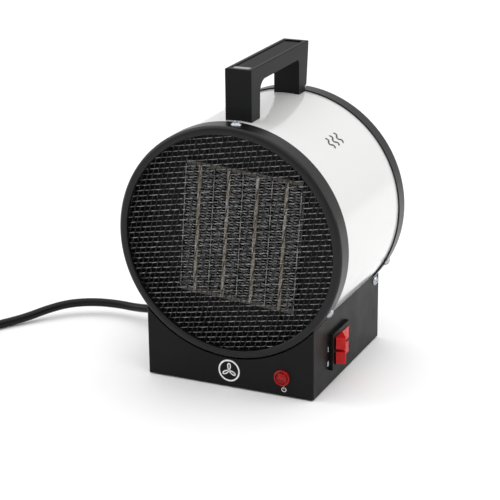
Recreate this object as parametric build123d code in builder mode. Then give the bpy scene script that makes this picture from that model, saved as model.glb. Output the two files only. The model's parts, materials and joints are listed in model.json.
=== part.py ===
from build123d import *
from math import cos, pi, radians, sin, sqrt, tan
import os

# Ceramic (PTC) fan heater: a round drum on a square sheet-steel base, with a carrying handle,
# twin rocker switches, an indicator lamp and a mains lead.
# Millimetres, +Z up, the outlet mesh faces -Y, +X is on the right of someone facing the heater.
# Origin: on the floor, under the middle of the heater.

os.makedirs("parts", exist_ok=True)

# ---------------------------------------------------------------- driving dimensions
AXIS_Z = 114.0            # drum axis above the floor
DRUM_R = 88.7             # drum sheet, outside
DRUM_SHEET = 0.8
RING_R = 90.0             # black end rings, outside
RING_SHEET = 1.0
RING_LIP_R = 83.3         # free opening in each end ring
RING_ROLL_R = 3.5         # rolled rim
FRONT_RING = (-69.0, -53.3)   # front face and rear edge of the front ring, along Y
REAR_RING = (70.0, 55.7)      # rear face and front edge of the rear ring, along Y
LIP_DEPTH = 2.8

BASE_W = 137.0
BASE_FRONT, BASE_REAR = -68.0, 69.5
BASE_SHEET = 1.0
SKIRT_Z = 1.0             # the rubber feet stand this far out of the base
BASE_TOP = 62.0           # blank height before the drum's seat is cut

MESH_PITCH = 12.3
MESH_WIRE = 1.1
MESH_T = 1.6
MESH_R = 88.4
MESH_TURN = 9.9           # rise of one set of wires
MESH_LEAN = 14.8          # lean of the other set

PTC_TILT = 4.3            # the element sits slightly turned and off centre
PTC_X = 1.3
PTC_FRONT_Y = -49.0
PTC_DEPTH = 24.0
PTC_PITCH = 23.4          # between heater bars
PTC_BAR_T = 2.6
PTC_FIN_W = 10.0
PTC_FIN_H = 98.0
PTC_FIN_STEP = 2.2        # corrugation pitch
PTC_SHEET = 0.25
PTC_END_T = 3.0

HANDLE_W = 21.0
HANDLE_TOP = 241.0
HANDLE_BAR = 11.0
HANDLE_FRONT, HANDLE_REAR = -45.4, 62.5

SHAFT_R = 1.5
SHAFT_PLAY = 0.05
FAN_R = 63.0
SHROUD_R = 65.5

CORD_R = 3.5
CORD_EXIT_Y, CORD_EXIT_Z = 20.0, 16.0
RELIEF_END = -96.0        # x of the strain relief's free end
COIL_LIFT = 0.8           # the tie's thickness under the coil

half_w = BASE_W / 2
drum_axis = Axis((0, 0, AXIS_Z), (0, 1, 0))
section = Plane(origin=(0, 0, AXIS_Z), x_dir=(0, 1, 0), z_dir=(1, 0, 0))   # local x is Y, local y is radius


def face_on(y):
    """A plane facing the front at depth y, centred on the drum axis."""
    return Plane(origin=(0, y, AXIS_Z), x_dir=(1, 0, 0), z_dir=(0, -1, 0))


def element_plane(y):
    """A plane facing the front at depth y, centred on the heating element and turned clockwise with it."""
    t = radians(PTC_TILT)
    return Plane(origin=(PTC_X, y, AXIS_Z), x_dir=(cos(t), 0, -sin(t)), z_dir=(0, -1, 0))


def radial_plane(angle, y, radius):
    """A plane on a cylinder round the drum axis, its normal pointing outwards."""
    a = radians(angle)
    out = (cos(a), 0, sin(a))
    return Plane(origin=(radius * out[0], y, AXIS_Z + radius * out[2]), x_dir=(0, 1, 0), z_dir=out)


# ---------------------------------------------------------------- end rings
def ring_profile(face_y, edge_y):
    """The rolled steel section of an end ring: band, quarter-round rim, face and returned lip."""
    s = 1 if edge_y > face_y else -1
    roll = RING_ROLL_R
    inner = roll - RING_SHEET
    flat_r = RING_LIP_R + 1.5
    mid = sqrt(0.5)           # middle of a quarter arc of radius one
    with BuildSketch(section) as sk:
        with BuildLine():
            a = Line((edge_y, RING_R), (face_y + s * roll, RING_R))
            b = ThreePointArc(a @ 1, (face_y + s * roll * (1 - mid), RING_R - roll * (1 - mid)),
                              (face_y, RING_R - roll))
            c = Line(b @ 1, (face_y, flat_r))
            d = ThreePointArc(c @ 1, (face_y + s * 1.5 * (1 - mid), RING_LIP_R + 1.5 * (1 - mid)),
                              (face_y + s * 1.5, RING_LIP_R))
            e = Line(d @ 1, (face_y + s * LIP_DEPTH, RING_LIP_R))
            f = Line(e @ 1, (face_y + s * LIP_DEPTH, RING_LIP_R + RING_SHEET))
            g = Line(f @ 1, (face_y + s * 1.5, RING_LIP_R + RING_SHEET))
            h = Line(g @ 1, (face_y + s * RING_SHEET, flat_r))
            i = Line(h @ 1, (face_y + s * RING_SHEET, RING_R - roll))
            j = ThreePointArc(i @ 1, (face_y + s * (roll - inner * mid), RING_R - roll + inner * mid),
                              (face_y + s * roll, RING_R - RING_SHEET))
            k = Line(j @ 1, (edge_y, RING_R - RING_SHEET))
            Line(k @ 1, a @ 0)
        make_face()
    return sk.sketch


RING_SCREWS = [(87.0, -60.0), (-30, -60.0), (210, -60.0), (87.0, 62.5), (-30, 61.5), (210, 61.5)]

with BuildPart() as front_ring:
    add(ring_profile(*FRONT_RING))
    revolve(axis=drum_axis, revolution_arc=360)
    for angle, y in RING_SCREWS[:3]:
        with BuildSketch(radial_plane(angle, y, RING_R + 1)):
            Circle(1.7)
        extrude(amount=-4, mode=Mode.SUBTRACT)
front_ring.part.label = "front_ring"
export_step(front_ring.part, "parts/front_ring.step")

with BuildPart() as rear_ring:
    add(ring_profile(*REAR_RING))
    revolve(axis=drum_axis, revolution_arc=360)
    for angle, y in RING_SCREWS[3:]:
        with BuildSketch(radial_plane(angle, y, RING_R + 1)):
            Circle(1.7)
        extrude(amount=-4, mode=Mode.SUBTRACT)
rear_ring.part.label = "rear_ring"
export_step(rear_ring.part, "parts/rear_ring.step")

# ---------------------------------------------------------------- drum
drum_ends = (FRONT_RING[0] + LIP_DEPTH + 0.2 + MESH_T + 0.1, REAR_RING[0] - LIP_DEPTH - 0.2 - MESH_T - 0.1)
HANDLE_SCREWS = (-35.0, 50.5)
SADDLES = (-42.0, 42.0)
SADDLE_SCREW_ANGLES = (-104, -76)
SADDLE_FLANGE = 12.0
WIRE_WINDOW_Y = -18.0


def saddle_flange_y(y):
    """Middle of a saddle's flange, which points towards the middle of the base."""
    return y + (SADDLE_FLANGE / 2 if y < 0 else -SADDLE_FLANGE / 2)


with BuildPart() as drum_shell:
    with BuildSketch(face_on(drum_ends[0])):
        Circle(DRUM_R)
        Circle(DRUM_R - DRUM_SHEET, mode=Mode.SUBTRACT)
    extrude(amount=-(drum_ends[1] - drum_ends[0]))
    for angle, y in RING_SCREWS:
        with BuildSketch(radial_plane(angle, y, DRUM_R + 1)):
            Circle(1.7)
        extrude(amount=-4, mode=Mode.SUBTRACT)
    for y in HANDLE_SCREWS:
        with BuildSketch(radial_plane(90, y, DRUM_R + 1)):
            Circle(2.2)
        extrude(amount=-4, mode=Mode.SUBTRACT)
    for y in SADDLES:
        for angle in SADDLE_SCREW_ANGLES:
            with BuildSketch(radial_plane(angle, saddle_flange_y(y), DRUM_R + 1)):
                Circle(1.7)
            extrude(amount=-4, mode=Mode.SUBTRACT)
    with BuildSketch(radial_plane(-90, WIRE_WINDOW_Y, DRUM_R + 1)):
        RectangleRounded(16, 24, 4)
    extrude(amount=-4, mode=Mode.SUBTRACT)
drum_shell.part.label = "drum_shell"
export_step(drum_shell.part, "parts/drum_shell.step")


# ---------------------------------------------------------------- guard meshes
def mesh_bars():
    """Two skewed sets of bars, clipped to a disc, drawn in the sketch that is open."""
    count = int(MESH_R / MESH_PITCH)
    for i in range(-count, count + 1):
        with Locations(Location((0, i * MESH_PITCH, 0), MESH_TURN)):
            Rectangle(2 * MESH_R + 20, MESH_WIRE)
        with Locations(Location((i * MESH_PITCH, 0, 0), -MESH_LEAN)):
            Rectangle(MESH_WIRE, 2 * MESH_R + 20)
    Circle(MESH_R - 0.8, mode=Mode.INTERSECT)


def mesh_rim():
    """The mesh's selvedge, in the sketch that is open."""
    Circle(MESH_R)
    Circle(MESH_R - 1.6, mode=Mode.SUBTRACT)


with BuildPart() as front_mesh:
    with BuildSketch(face_on(FRONT_RING[0] + LIP_DEPTH + 0.2)):
        mesh_bars()
    with BuildSketch(face_on(FRONT_RING[0] + LIP_DEPTH + 0.2)):
        mesh_rim()
    extrude(amount=-MESH_T)
front_mesh.part.label = "front_mesh"
export_step(front_mesh.part, "parts/front_mesh.step")

with BuildPart() as rear_mesh:
    with BuildSketch(face_on(REAR_RING[0] - LIP_DEPTH - 0.2 - MESH_T)):
        mesh_bars()
    with BuildSketch(face_on(REAR_RING[0] - LIP_DEPTH - 0.2 - MESH_T)):
        mesh_rim()
    extrude(amount=-MESH_T)
rear_mesh.part.label = "rear_mesh"
export_step(rear_mesh.part, "parts/rear_mesh.step")

# ---------------------------------------------------------------- heating element
# Four bars of ceramic stones in flat tubes, a row of corrugated fins glued on each side of each bar.
bar_x = [(i - 1.5) * PTC_PITCH for i in range(4)]
fin_half = PTC_FIN_H / 2
plate_t = PTC_PITCH - PTC_BAR_T - 2 * PTC_FIN_W       # sheet between neighbouring fin rows
outer_x = bar_x[3] + PTC_BAR_T / 2 + PTC_FIN_W + plate_t / 2
ptc_back_y = PTC_FRONT_Y + PTC_DEPTH
element_w = 2 * outer_x + plate_t


def fin_outline(x):
    """A corrugated sheet seen from the front, as one closed line, in the sketch that is open."""
    steps = int(2 * PTC_FIN_H / PTC_FIN_STEP)
    rise = PTC_FIN_H / steps
    left, right = x - PTC_FIN_W / 2 + 0.05, x + PTC_FIN_W / 2 - 0.05
    shift = PTC_SHEET * (right - left) / rise         # sideways thickness of the sloping sheet
    up = [((left, right - shift)[i % 2], -fin_half + i * rise) for i in range(steps + 1)]
    back = [(px + shift, pz) for px, pz in reversed(up)]
    Polygon(*up, *back, align=None)


for i, x in enumerate(bar_x):
    with BuildPart() as ptc_bar:
        with BuildSketch(element_plane(PTC_FRONT_Y)):
            with Locations((x, 0)):
                RectangleRounded(PTC_BAR_T, PTC_FIN_H + 3, 0.8)
        extrude(amount=-PTC_DEPTH)
    ptc_bar.part.label = f"ptc_heater_bar_{i + 1}"
    export_step(ptc_bar.part, f"parts/ptc_heater_bar_{i + 1}.step")

    with BuildPart() as ptc_fins:
        for side in (-1, 1):
            with BuildSketch(element_plane(PTC_FRONT_Y + 0.5)):
                fin_outline(x + side * (PTC_BAR_T + PTC_FIN_W) / 2)
            extrude(amount=-(PTC_DEPTH - 1))
    ptc_fins.part.label = f"ptc_fins_{i + 1}"
    export_step(ptc_fins.part, f"parts/ptc_fins_{i + 1}.step")

with BuildPart() as ptc_plates:
    with BuildSketch(element_plane(PTC_FRONT_Y)):
        with Locations(*[(x, 0) for x in (-outer_x, -PTC_PITCH, 0, PTC_PITCH, outer_x)]):
            Rectangle(plate_t, PTC_FIN_H)
    extrude(amount=-PTC_DEPTH)
ptc_plates.part.label = "ptc_plates"
export_step(ptc_plates.part, "parts/ptc_plates.step")

# End frames: moulded channels that hold the bars' ends.
for name, side in (("ptc_end_frame_upper", 1), ("ptc_end_frame_lower", -1)):
    with BuildPart() as ptc_end_frame:
        with BuildSketch(element_plane(PTC_FRONT_Y + 1)):
            with Locations((0, side * (fin_half + PTC_END_T / 2 + 0.05))):
                Rectangle(element_w, PTC_END_T)
            with Locations(*[(x, side * (fin_half + 0.75)) for x in bar_x]):
                Rectangle(PTC_BAR_T + 0.1, 1.7, mode=Mode.SUBTRACT)
        extrude(amount=-(PTC_DEPTH - 2))
    ptc_end_frame.part.label = name
    export_step(ptc_end_frame.part, f"parts/{name}.step")

# Blade terminals stand out of the lower end frame's back half.
TERMINAL_X = (bar_x[0] + 6, bar_x[1] + 6, bar_x[3] - 6)
terminal_top = -(fin_half + PTC_END_T + 0.05)
with BuildPart() as ptc_terminals:
    with BuildSketch(element_plane(PTC_FRONT_Y + 15)):
        with Locations(*[(x, terminal_top - 6) for x in TERMINAL_X]):
            RectangleRounded(6.3, 12, 1)
    extrude(amount=-0.8)
ptc_terminals.part.label = "ptc_terminals"
export_step(ptc_terminals.part, "parts/ptc_terminals.step")

# ---------------------------------------------------------------- baffle and element brackets
BAFFLE_Y = -44.0
BAFFLE_T = 1.0
BAFFLE_FLANGE = 4.5
baffle_r = DRUM_R - DRUM_SHEET - 0.1
window_h = PTC_FIN_H + 2 * PTC_END_T + 1.5
BRACKET_SCREW_X = (-34.0, 34.0)
bracket_z = window_h / 2 + 0.1
bracket_screw_z = bracket_z + 7

with BuildPart() as heat_baffle:
    with BuildSketch(face_on(BAFFLE_Y)):
        Circle(baffle_r)
    extrude(amount=-BAFFLE_T)
    with BuildSketch(face_on(BAFFLE_Y)):
        Circle(baffle_r)
        Circle(baffle_r - BAFFLE_T, mode=Mode.SUBTRACT)
    extrude(amount=-BAFFLE_FLANGE)
    with BuildSketch(element_plane(BAFFLE_Y)):
        Rectangle(element_w + 1, window_h)
        with Locations(*[(x, s * bracket_screw_z) for x in BRACKET_SCREW_X for s in (-1, 1)]):
            Circle(1.7)
    extrude(amount=-BAFFLE_T, mode=Mode.SUBTRACT)
heat_baffle.part.label = "heat_baffle"
export_step(heat_baffle.part, "parts/heat_baffle.step")

for name, side in (("ptc_bracket_upper", 1), ("ptc_bracket_lower", -1)):
    with BuildPart() as ptc_bracket:
        with BuildSketch(element_plane(BAFFLE_Y + BAFFLE_T)):
            with Locations((0, side * (bracket_z + 5.5))):
                RectangleRounded(84, 11, 2)
            with Locations(*[(x, side * bracket_screw_z) for x in BRACKET_SCREW_X]):
                Circle(1.5, mode=Mode.SUBTRACT)
        extrude(amount=-1.2)
        with BuildSketch(element_plane(BAFFLE_Y + BAFFLE_T)):
            with Locations((0, side * (bracket_z + 0.5))):
                Rectangle(84, 1.0)
        extrude(amount=-16)
        with BuildSketch(element_plane(BAFFLE_Y + BAFFLE_T)):
            with Locations(*[(x, side * (bracket_z + 0.5)) for x in TERMINAL_X]):
                Rectangle(9, 3)
        extrude(amount=-16, mode=Mode.SUBTRACT)
    ptc_bracket.part.label = name
    export_step(ptc_bracket.part, f"parts/{name}.step")

# Bimetal cut-out clipped behind the element, under the upper bracket.
with BuildPart() as thermal_cutout:
    with BuildSketch(element_plane(ptc_back_y + 0.5)):
        with Locations((0, 40)):
            Circle(8)
    extrude(amount=-5)
    with BuildSketch(element_plane(ptc_back_y + 2.5)):
        with Locations((-10, 40), (10, 40)):
            Rectangle(8, 4.8)
    extrude(amount=-0.8)
thermal_cutout.part.label = "thermal_cutout"
export_step(thermal_cutout.part, "parts/thermal_cutout.step")

# ---------------------------------------------------------------- fan and motor
SHROUD_Y = 6.0
BAR_Y, BAR_T = 32.0, 1.2
STATOR_Y, STATOR_D = 38.0, 16.0
END_T = 1.5
MOTOR_SCREW_X = 20.0
FEET_R = 72.5             # middle of the motor bracket's feet
ROTOR_R = 12.9
STATOR_BORE = 13.2
bar_face = BAR_Y + BAR_T
end_front_y = STATOR_Y - END_T
end_rear_y = STATOR_Y + STATOR_D

with BuildPart() as fan_shroud:
    with BuildSketch(face_on(SHROUD_Y)):
        Circle(baffle_r)
        Circle(SHROUD_R, mode=Mode.SUBTRACT)
    extrude(amount=-1)
    with BuildSketch(face_on(SHROUD_Y)):
        Circle(baffle_r)
        Circle(baffle_r - 1, mode=Mode.SUBTRACT)
    extrude(amount=-7)
    with BuildSketch(face_on(SHROUD_Y)):
        Circle(SHROUD_R + 1)
        Circle(SHROUD_R, mode=Mode.SUBTRACT)
    extrude(amount=-19)
    with BuildSketch(face_on(SHROUD_Y)):
        with Locations((0, FEET_R + 3.5), (0, -FEET_R - 3.5)):
            Circle(1.7)
    extrude(amount=-1, mode=Mode.SUBTRACT)
fan_shroud.part.label = "fan_shroud"
export_step(fan_shroud.part, "parts/fan_shroud.step")

with BuildPart() as motor_bracket:
    with BuildSketch(face_on(BAR_Y)):
        Rectangle(26, 2 * FEET_R)
        with Locations((-MOTOR_SCREW_X, 0), (MOTOR_SCREW_X, 0)):
            Circle(6)
        Rectangle(2 * MOTOR_SCREW_X, 12)
    extrude(amount=-BAR_T)
    with BuildSketch(face_on(SHROUD_Y + 1.05)):
        with Locations((0, FEET_R - BAR_T / 2), (0, BAR_T / 2 - FEET_R)):
            Rectangle(26, BAR_T)
    extrude(amount=-(bar_face - SHROUD_Y - 1.05))
    with BuildSketch(face_on(SHROUD_Y + 1.05)):
        with Locations((0, FEET_R + 4.4), (0, -FEET_R - 4.4)):
            Rectangle(26, 11)
    extrude(amount=-BAR_T)
    with BuildSketch(face_on(SHROUD_Y)):
        Circle(7)
        with Locations((-MOTOR_SCREW_X, 0), (MOTOR_SCREW_X, 0)):
            Circle(1.7)
        with Locations((0, FEET_R + 3.5), (0, -FEET_R - 3.5)):
            Circle(1.5)
    extrude(amount=-40, mode=Mode.SUBTRACT)
motor_bracket.part.label = "motor_bracket"
export_step(motor_bracket.part, "parts/motor_bracket.step")

with BuildPart() as motor_stator:
    with BuildSketch(face_on(STATOR_Y)):
        with Locations((0, -10)):
            RectangleRounded(50, 64, 3)
        Circle(STATOR_BORE, mode=Mode.SUBTRACT)
        with Locations((0, -24)):
            Rectangle(36, 12, mode=Mode.SUBTRACT)
        with Locations((-MOTOR_SCREW_X, 0), (MOTOR_SCREW_X, 0)):
            Circle(1.7, mode=Mode.SUBTRACT)
    extrude(amount=-STATOR_D)
motor_stator.part.label = "motor_stator"
export_step(motor_stator.part, "parts/motor_stator.step")

with BuildPart() as motor_coil:
    with BuildSketch(Plane(origin=(-13, STATOR_Y + STATOR_D / 2, AXIS_Z - 36), x_dir=(0, 1, 0),
                           z_dir=(1, 0, 0))):
        RectangleRounded(STATOR_D + 8, 22, 4)
        Rectangle(STATOR_D + 0.6, 12.4, mode=Mode.SUBTRACT)
    extrude(amount=26)
motor_coil.part.label = "motor_coil"
export_step(motor_coil.part, "parts/motor_coil.step")


def end_bracket_outline():
    """The strap of a motor end bracket, in the sketch that is open."""
    RectangleRounded(2 * MOTOR_SCREW_X + 10, 14, 5)
    Circle(11)
    with Locations((-MOTOR_SCREW_X, 0), (MOTOR_SCREW_X, 0)):
        Circle(1.7, mode=Mode.SUBTRACT)


with BuildPart() as motor_end_front:
    with BuildSketch(face_on(end_front_y)):
        end_bracket_outline()
    extrude(amount=-END_T)
    with BuildSketch(face_on(end_front_y - 3)):
        Circle(6.5)
    extrude(amount=-3)
    with BuildSketch(face_on(end_front_y - 3)):
        Circle(4.5)
    extrude(amount=-(3 + END_T), mode=Mode.SUBTRACT)
motor_end_front.part.label = "motor_end_front"
export_step(motor_end_front.part, "parts/motor_end_front.step")

with BuildPart() as motor_end_rear:
    with BuildSketch(face_on(end_rear_y)):
        end_bracket_outline()
    extrude(amount=-END_T)
    with BuildSketch(face_on(end_rear_y)):
        Circle(6.5)
    extrude(amount=-(END_T + 4))
    with BuildSketch(face_on(end_rear_y)):
        Circle(4.5)
    extrude(amount=-(END_T + 3), mode=Mode.SUBTRACT)
motor_end_rear.part.label = "motor_end_rear"
export_step(motor_end_rear.part, "parts/motor_end_rear.step")

with BuildPart() as motor_bushes:
    for y in (end_front_y - 3, end_rear_y):
        with BuildSketch(face_on(y)):
            Circle(4.5)
            Circle(SHAFT_R + SHAFT_PLAY, mode=Mode.SUBTRACT)
        extrude(amount=-4.4)
motor_bushes.part.label = "motor_bushes"
export_step(motor_bushes.part, "parts/motor_bushes.step")

# Through screws clamp bracket, spacers, straps and stator together; spacers and nuts belong to the set.
with BuildPart() as motor_screws:
    for side in (-1, 1):
        with BuildSketch(face_on(BAR_Y - 2.2)):
            with Locations((side * MOTOR_SCREW_X, 0)):
                Circle(2.9)
        extrude(amount=-2.2)
        with BuildSketch(face_on(BAR_Y)):
            with Locations((side * MOTOR_SCREW_X, 0)):
                Circle(1.5)
        extrude(amount=-(end_rear_y + END_T + 3 - BAR_Y))
        with BuildSketch(face_on(bar_face)):
            with Locations((side * MOTOR_SCREW_X, 0)):
                Circle(3)
        extrude(amount=-(end_front_y - bar_face))
        with BuildSketch(face_on(end_rear_y + END_T)):
            with Locations((side * MOTOR_SCREW_X, 0)):
                RegularPolygon(3.1, 6)
        extrude(amount=-2.4)
motor_screws.part.label = "motor_screws"
export_step(motor_screws.part, "parts/motor_screws.step")

FAN_Y = 11.0
FAN_DEPTH = 14.0
HUB_R = 14.0
BLADES = 5
BLADE_T = 1.4
BLADE_CHORD = 24.0
BLADE_PITCH = 28.0        # blade angle to the fan's plane
pitch = radians(BLADE_PITCH)

with BuildPart() as motor_shaft:
    with BuildSketch(face_on(FAN_Y - 1.5)):
        Circle(SHAFT_R)
    extrude(amount=-(end_rear_y + 4.0 - FAN_Y + 1.5))
motor_shaft.part.label = "motor_shaft"
export_step(motor_shaft.part, "parts/motor_shaft.step")

with BuildPart() as motor_rotor:
    with BuildSketch(face_on(STATOR_Y + 0.5)):
        Circle(ROTOR_R)
        Circle(SHAFT_R, mode=Mode.SUBTRACT)
    extrude(amount=-(STATOR_D - 1))
motor_rotor.part.label = "motor_rotor"
export_step(motor_rotor.part, "parts/motor_rotor.step")

with BuildPart() as fan_impeller:
    with BuildSketch(face_on(FAN_Y)):
        Circle(HUB_R)
    extrude(amount=-FAN_DEPTH)
    fillet(fan_impeller.edges().filter_by(GeomType.CIRCLE).sort_by(Axis.Y)[0], 3)
    for i in range(BLADES):
        a = radians(90 + i * 360 / BLADES)
        chord = (-sin(a) * cos(pitch), sin(pitch), cos(a) * cos(pitch))
        root = Plane(origin=((HUB_R - 2) * cos(a), FAN_Y + FAN_DEPTH / 2, AXIS_Z + (HUB_R - 2) * sin(a)),
                     x_dir=chord, z_dir=(cos(a), 0, sin(a)))
        with BuildSketch(root):
            RectangleRounded(BLADE_CHORD, BLADE_T, 0.6)
        extrude(amount=FAN_R - HUB_R + 1)
    with BuildSketch(face_on(FAN_Y)):
        Circle(SHAFT_R)
    extrude(amount=-FAN_DEPTH, mode=Mode.SUBTRACT)
fan_impeller.part.label = "fan_impeller"
export_step(fan_impeller.part, "parts/fan_impeller.step")

# ---------------------------------------------------------------- base
SIDE_SCREW = (61.0, 51.5)       # y, z of the screw through each side into the rear panel
LAMP_X, LAMP_Z = 43.6, 15.3
LAMP_R = 5.0
SWITCH_Y, SWITCH_Z = -19.0, 27.3
SWITCH_CUT = (29.5, 25.6)       # opening in the side, Y by Z
BASE_SCREWS = [(x, y) for x in (-62.0, 62.0) for y in (-36.0, 36.0)]
FOOT_SPOTS = [(x, y) for x in (-57.0, 57.0) for y in (-55.0, 56.0)]
LIP_W = 18.0
inner_x = half_w - BASE_SHEET
seat_gap = 0.15

with BuildPart() as base_housing:
    with BuildSketch(Plane.XY.offset(SKIRT_Z)):
        with BuildLine():
            FilletPolyline((-half_w, BASE_REAR), (-half_w, BASE_FRONT), (half_w, BASE_FRONT),
                           (half_w, BASE_REAR), radius=1.6)
            Polyline((half_w, BASE_REAR), (inner_x, BASE_REAR), (inner_x, BASE_FRONT + BASE_SHEET),
                     (-inner_x, BASE_FRONT + BASE_SHEET), (-inner_x, BASE_REAR), (-half_w, BASE_REAR))
        make_face()
    extrude(amount=BASE_TOP - SKIRT_Z)
    with BuildSketch(Plane.XY.offset(SKIRT_Z)):
        with Locations(*[(s * (half_w - BASE_SHEET - LIP_W / 2 + 0.2), 0) for s in (-1, 1)]):
            Rectangle(LIP_W, BASE_REAR - BASE_FRONT - 8)
        with Locations(*BASE_SCREWS):
            Circle(1.5, mode=Mode.SUBTRACT)
        with Locations(*FOOT_SPOTS):
            Circle(3.1, mode=Mode.SUBTRACT)
    extrude(amount=BASE_SHEET)
    with BuildSketch(face_on(BASE_FRONT - 1)):
        Circle(RING_R + seat_gap)
    extrude(amount=-(FRONT_RING[1] + seat_gap - BASE_FRONT + 1), mode=Mode.SUBTRACT)
    with BuildSketch(face_on(BASE_FRONT - 1)):
        Circle(DRUM_R + seat_gap)
    extrude(amount=-160, mode=Mode.SUBTRACT)
    with BuildSketch(face_on(REAR_RING[1] - seat_gap)):
        Circle(RING_R + seat_gap)
    extrude(amount=-40, mode=Mode.SUBTRACT)
    with BuildSketch(face_on(BASE_FRONT - 1)):
        with Locations((LAMP_X, LAMP_Z - AXIS_Z)):
            Circle(LAMP_R + 0.1)
    extrude(amount=-4, mode=Mode.SUBTRACT)
    with BuildSketch(Plane(origin=(half_w + 1, SWITCH_Y, SWITCH_Z), x_dir=(0, 1, 0), z_dir=(1, 0, 0))):
        Rectangle(*SWITCH_CUT)
    extrude(amount=-4, mode=Mode.SUBTRACT)
    with BuildSketch(Plane(origin=(-half_w - 1, CORD_EXIT_Y, CORD_EXIT_Z), x_dir=(0, 1, 0),
                           z_dir=(1, 0, 0))):
        Circle(6.5)
    extrude(amount=4, mode=Mode.SUBTRACT)
    with BuildSketch(Plane(origin=(-half_w - 1, *SIDE_SCREW), x_dir=(0, 1, 0), z_dir=(1, 0, 0))):
        Circle(1.7)
    extrude(amount=BASE_W + 2, mode=Mode.SUBTRACT)
base_housing.part.label = "base_housing"
export_step(base_housing.part, "parts/base_housing.step")

with BuildPart() as rear_panel:
    inner_w = BASE_W - 2 * BASE_SHEET - 0.1
    with BuildSketch(Plane.XY.offset(SKIRT_Z)):
        with Locations((0, BASE_REAR - BASE_SHEET / 2)):
            Rectangle(inner_w, BASE_SHEET)
    extrude(amount=BASE_TOP - SKIRT_Z)
    with BuildSketch(Plane.XY.offset(SKIRT_Z + 3)):
        with Locations(*[(s * (inner_w - BASE_SHEET) / 2, BASE_REAR - 7.5) for s in (-1, 1)]):
            Rectangle(BASE_SHEET, 15)
    extrude(amount=BASE_TOP - SKIRT_Z - 3)
    with BuildSketch(face_on(REAR_RING[1] - 5)):
        Circle(RING_R + seat_gap)
    extrude(amount=-40, mode=Mode.SUBTRACT)
    with BuildSketch(Plane(origin=(-half_w, *SIDE_SCREW), x_dir=(0, 1, 0), z_dir=(1, 0, 0))):
        Circle(1.5)
    extrude(amount=BASE_W, mode=Mode.SUBTRACT)
rear_panel.part.label = "rear_panel"
export_step(rear_panel.part, "parts/rear_panel.step")

plate_z = SKIRT_Z + BASE_SHEET + 0.02
with BuildPart() as base_plate:
    with BuildSketch(Plane.XY.offset(plate_z)):
        with Locations((0, (BASE_FRONT + BASE_REAR) / 2)):
            Rectangle(BASE_W - 2 * BASE_SHEET - 0.6, BASE_REAR - BASE_FRONT - 5)
        with Locations(*BASE_SCREWS):
            Circle(1.5, mode=Mode.SUBTRACT)
        with Locations(*FOOT_SPOTS):
            Circle(3.1, mode=Mode.SUBTRACT)
    extrude(amount=BASE_SHEET)
    with BuildSketch(Plane.XY.offset(plate_z)):
        with Locations(*[(0, y) for y in (BASE_FRONT + 3, BASE_REAR - 3)]):
            Rectangle(100, BASE_SHEET)
    extrude(amount=8)
base_plate.part.label = "base_plate"
export_step(base_plate.part, "parts/base_plate.step")
floor_z = plate_z + BASE_SHEET

# Push-in feet: disc under the lip, neck through the holes, barb above the plate.
with BuildPart() as rubber_feet:
    with BuildSketch(Plane.XY):
        with Locations(*FOOT_SPOTS):
            Circle(7)
    extrude(amount=SKIRT_Z)
    with BuildSketch(Plane.XY.offset(SKIRT_Z)):
        with Locations(*FOOT_SPOTS):
            Circle(3)
    extrude(amount=floor_z - SKIRT_Z)
    with BuildSketch(Plane.XY.offset(floor_z)):
        with Locations(*FOOT_SPOTS):
            Circle(4.2)
    extrude(amount=3, taper=20)
rubber_feet.part.label = "rubber_feet"
export_step(rubber_feet.part, "parts/rubber_feet.step")

SADDLE_T = 1.2
SADDLE_ARC = 22.0
saddle_r = DRUM_R + 0.05
for name, y in (("drum_saddle_front", SADDLES[0]), ("drum_saddle_rear", SADDLES[1])):
    outward = -1 if y < 0 else 1
    flange_from = y if y < 0 else y - SADDLE_FLANGE
    with BuildPart() as drum_saddle:
        with BuildSketch(face_on(y - SADDLE_T / 2)):
            with Locations((0, (floor_z + BASE_TOP) / 2 - AXIS_Z)):
                Rectangle(BASE_W - 2 * BASE_SHEET - 0.6, BASE_TOP - floor_z)
            Circle(saddle_r, mode=Mode.SUBTRACT)
            with Locations((40, 11 - AXIS_Z), (-10, 11 - AXIS_Z)):
                Circle(4, mode=Mode.SUBTRACT)
        extrude(amount=-SADDLE_T)
        with BuildSketch(face_on(flange_from)):
            Circle(saddle_r + SADDLE_T)
            Circle(saddle_r, mode=Mode.SUBTRACT)
            with Locations((0, -saddle_r)):
                Rectangle(2 * saddle_r * sin(radians(SADDLE_ARC)), 30, mode=Mode.INTERSECT)
        extrude(amount=-SADDLE_FLANGE)
        with BuildSketch(Plane.XY.offset(floor_z)):
            with Locations((0, y + outward * 5)):
                Rectangle(80, 10)
        extrude(amount=SADDLE_T)
        for angle in SADDLE_SCREW_ANGLES:
            with BuildSketch(radial_plane(angle, saddle_flange_y(y), DRUM_R - 1)):
                Circle(1.5)
            extrude(amount=6, mode=Mode.SUBTRACT)
    drum_saddle.part.label = name
    export_step(drum_saddle.part, f"parts/{name}.step")

# ---------------------------------------------------------------- screws
HEAD_R, HEAD_H = 3.9, 2.2


def pan_head(plane, head_r, head_h, shank_r, length):
    """A domed screw whose head sits on the plane, added to the part that is open."""
    with BuildSketch(plane) as head:
        Circle(head_r)
    extrude(head.sketch, amount=head_h, taper=22)
    with BuildSketch(plane) as shank:
        Circle(shank_r)
    extrude(shank.sketch, amount=-length)


with BuildPart() as case_screws:
    for angle, y in RING_SCREWS:
        pan_head(radial_plane(angle, y, RING_R + 0.05), HEAD_R, HEAD_H, 1.5, 7)
    for side in (-1, 1):
        pan_head(Plane(origin=(side * (half_w + 0.02), SIDE_SCREW[0], SIDE_SCREW[1]), x_dir=(0, 1, 0),
                       z_dir=(side, 0, 0)), HEAD_R, HEAD_H, 1.45, 2.1)
case_screws.part.label = "case_screws"
export_step(case_screws.part, "parts/case_screws.step")

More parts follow.
